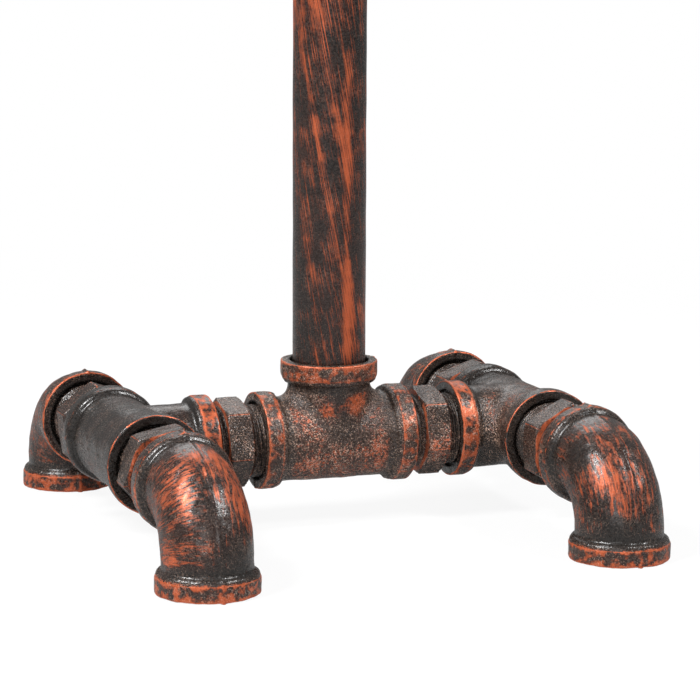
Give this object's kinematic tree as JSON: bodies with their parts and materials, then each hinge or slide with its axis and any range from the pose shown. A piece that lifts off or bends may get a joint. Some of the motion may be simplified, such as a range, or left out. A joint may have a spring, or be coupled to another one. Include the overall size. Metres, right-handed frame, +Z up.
{
  "type": "table lamp",
  "caption": "Table lamp built from threaded iron pipe fittings: a four-footed base of tees, hexagon nipples and elbows, an upright pipe and a keyed lampholder with a bare bulb.",
  "frame": {"origin": "on the table surface, under the axis of the upright pipe", "axes": "+Z up the pipe, +X along the crossbar towards the turn key, -Y towards the front"},
  "size_m": [0.2328, 0.2732, 0.5663],
  "materials": {
    "iron": "black paint brushed through to copper red",
    "aged_brass": "antique, satin",
    "bright_brass": "satin",
    "steel": "zinc plated",
    "black_moulding": "moulded, semi-gloss",
    "fibre": "pressed fibre sleeve",
    "rubber": "matt",
    "wire_cover": "smooth",
    "glass": "clear",
    "filament": "yellow phosphor"
  },
  "bodies": {
    "stand": {"central_tee": "iron", "side_tee_left": "iron", "side_tee_right": "iron", "crossbar_nipple_left": "iron", "crossbar_nipple_right": "iron", "foot_nipple_front_left": "iron", "foot_nipple_front_right": "iron", "foot_nipple_back_left": "iron", "foot_nipple_back_right": "iron", "foot_elbow_front_left": "iron", "foot_elbow_front_right": "iron", "foot_elbow_back_left": "iron", "foot_elbow_back_right": "iron", "stem_pipe": "iron", "stem_cap": "iron", "holder_cap": "aged_brass", "holder_shell": "aged_brass", "seating_ring": "aged_brass", "neck_set_screw": "aged_brass", "contact_shell": "bright_brass", "centre_contact": "bright_brass", "terminal_screws": "bright_brass", "terminal_plates": "bright_brass", "bulb_cap": "bright_brass", "lamp_rod": "steel", "rod_locknut": "steel", "filament_leads": "steel", "bulb_tip_contact": "steel", "switch_body": "black_moulding", "bulb_insulator": "black_moulding", "insulating_liner": "fibre", "cord_grommet": "rubber", "live_wire": "wire_cover", "neutral_wire": "wire_cover", "wire_connectors": "wire_cover", "bulb_glass": "glass", "bulb_mount": "glass", "bulb_filaments": "filament"},
    "key": {"turn_key": "black_moulding", "key_spindle": "steel", "switch_rotor": "black_moulding"}
  },
  "joints": [
    {"name": "key_turn", "type": "hinge", "parent": "stand", "child": "key", "pos_m": [0, 0, 0.41585], "axis": [1, 0, 0], "continuous": true}
  ]
}
